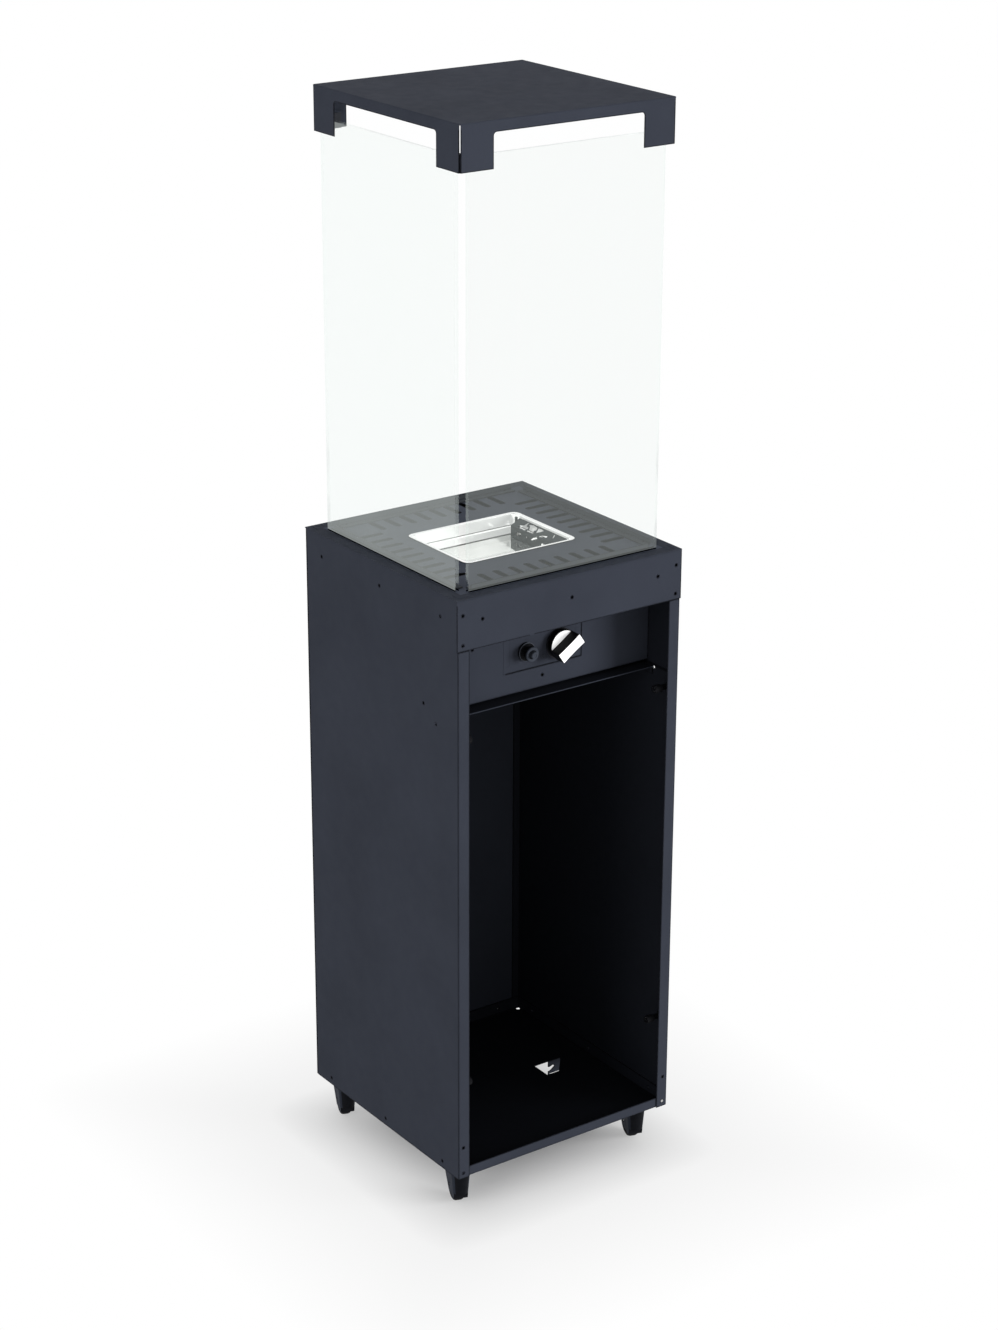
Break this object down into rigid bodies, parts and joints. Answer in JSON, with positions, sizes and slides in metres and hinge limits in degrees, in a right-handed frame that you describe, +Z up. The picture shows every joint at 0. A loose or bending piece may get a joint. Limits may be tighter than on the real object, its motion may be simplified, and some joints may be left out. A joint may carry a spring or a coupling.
{
  "type": "gas fireplace",
  "caption": "Free-standing gas fireplace: folded sheet cabinet on swivel casters with a bottle compartment, control knob, burner tray and tall glass lantern.",
  "frame": {"origin": "on the ground under the middle of the cabinet", "axes": "+Z up, -Y towards the side with the opening and the controls, +X to the right as seen from the front"},
  "size_m": [0.38, 0.3917, 1.5776],
  "materials": {
    "anthracite_coat": "satin powder coat, dark blue-grey",
    "clear_glass": "clear, polished, faintly green at the edges",
    "polished_steel": "polished stainless steel",
    "heat_tinted_steel": "dark, semi-gloss",
    "dark_steel": "dark, satin",
    "plated_steel": "zinc plated, satin",
    "brass": "machined",
    "white_ceramic": "glazed ceramic",
    "black_plastic": "matte black",
    "wheel_rubber": "matte black"
  },
  "bodies": {
    "cabinet": {"back_panel": "anthracite_coat", "burner_bowl": "polished_steel", "burner_injector": "brass", "burner_pipe": "brass", "caster_plate_back_left": "dark_steel", "caster_plate_back_right": "dark_steel", "caster_plate_front_left": "dark_steel", "caster_plate_front_right": "dark_steel", "control_panel": "anthracite_coat", "control_plate": "anthracite_coat", "door_magnet_high_left": "black_plastic", "door_magnet_high_right": "black_plastic", "door_magnet_low_left": "black_plastic", "door_magnet_low_right": "black_plastic", "floor_tray": "anthracite_coat", "front_fascia": "anthracite_coat", "gas_inlet": "brass", "gas_valve": "brass", "glass_back": "clear_glass", "glass_front": "clear_glass", "glass_left": "clear_glass", "glass_rail_back": "anthracite_coat", "glass_rail_front": "anthracite_coat", "glass_rail_left": "anthracite_coat", "glass_rail_right": "anthracite_coat", "glass_right": "clear_glass", "igniter_body": "black_plastic", "knob_bezel": "dark_steel", "left_side_panel": "anthracite_coat", "main_burner": "plated_steel", "partition_shelf": "anthracite_coat", "pilot_burner": "brass", "pilot_guard": "heat_tinted_steel", "pilot_pipe": "brass", "right_side_panel": "anthracite_coat", "roof": "anthracite_coat", "roof_clamp_back_left": "dark_steel", "roof_clamp_back_right": "dark_steel", "roof_clamp_front_left": "dark_steel", "roof_clamp_front_right": "dark_steel", "spark_electrode": "white_ceramic", "thermocouple": "plated_steel", "top_plate": "anthracite_coat"},
    "caster_fork_front_left": {"caster_housing_front_left": "black_plastic", "caster_axle_front_left": "plated_steel"},
    "caster_roller_front_left": {"caster_wheel_front_left": "wheel_rubber"},
    "caster_fork_front_right": {"caster_housing_front_right": "black_plastic", "caster_axle_front_right": "plated_steel"},
    "caster_roller_front_right": {"caster_wheel_front_right": "wheel_rubber"},
    "caster_fork_back_left": {"caster_housing_back_left": "black_plastic", "caster_axle_back_left": "plated_steel"},
    "caster_roller_back_left": {"caster_wheel_back_left": "wheel_rubber"},
    "caster_fork_back_right": {"caster_housing_back_right": "black_plastic", "caster_axle_back_right": "plated_steel"},
    "caster_roller_back_right": {"caster_wheel_back_right": "wheel_rubber"},
    "valve_plunger": {"valve_stem": "plated_steel"},
    "knob": {"control_knob": "black_plastic"},
    "igniter_push": {"igniter_button": "black_plastic"}
  },
  "joints": [
    {"name": "caster_swivel_front_left", "type": "hinge", "parent": "cabinet", "child": "caster_fork_front_left", "pos_m": [-0.16, -0.152, 0.056], "axis": [0, 0, 1], "continuous": true},
    {"name": "wheel_spin_front_left", "type": "hinge", "parent": "caster_fork_front_left", "child": "caster_roller_front_left", "pos_m": [-0.15179, -0.12945, 0.02479], "axis": [0.9397, -0.342, 0], "continuous": true},
    {"name": "caster_swivel_front_right", "type": "hinge", "parent": "cabinet", "child": "caster_fork_front_right", "pos_m": [0.16, -0.152, 0.056], "axis": [0, 0, 1], "continuous": true},
    {"name": "wheel_spin_front_right", "type": "hinge", "parent": "caster_fork_front_right", "child": "caster_roller_front_right", "pos_m": [0.16821, -0.12945, 0.02479], "axis": [0.9397, -0.342, 0], "continuous": true},
    {"name": "caster_swivel_back_left", "type": "hinge", "parent": "cabinet", "child": "caster_fork_back_left", "pos_m": [-0.16, 0.152, 0.056], "axis": [0, 0, 1], "continuous": true},
    {"name": "wheel_spin_back_left", "type": "hinge", "parent": "caster_fork_back_left", "child": "caster_roller_back_left", "pos_m": [-0.15179, 0.17455, 0.02479], "axis": [0.9397, -0.342, 0], "continuous": true},
    {"name": "caster_swivel_back_right", "type": "hinge", "parent": "cabinet", "child": "caster_fork_back_right", "pos_m": [0.16, 0.152, 0.056], "axis": [0, 0, 1], "continuous": true},
    {"name": "wheel_spin_back_right", "type": "hinge", "parent": "caster_fork_back_right", "child": "caster_roller_back_right", "pos_m": [0.16821, 0.17455, 0.02479], "axis": [0.9397, -0.342, 0], "continuous": true},
    {"name": "knob_push", "type": "slide", "parent": "cabinet", "child": "valve_plunger", "axis": [0, 1, 0], "range_m": [0, 0.004], "stiffness_N_per_m": 800},
    {"name": "knob_turn", "type": "hinge", "parent": "valve_plunger", "child": "knob", "pos_m": [0.029, -0.134, 0.825], "axis": [0, -1, 0], "range_deg": [0, 180]},
    {"name": "igniter_push", "type": "slide", "parent": "cabinet", "child": "igniter_push", "axis": [0, 1, 0], "range_m": [0, 0.004], "stiffness_N_per_m": 600}
  ]
}
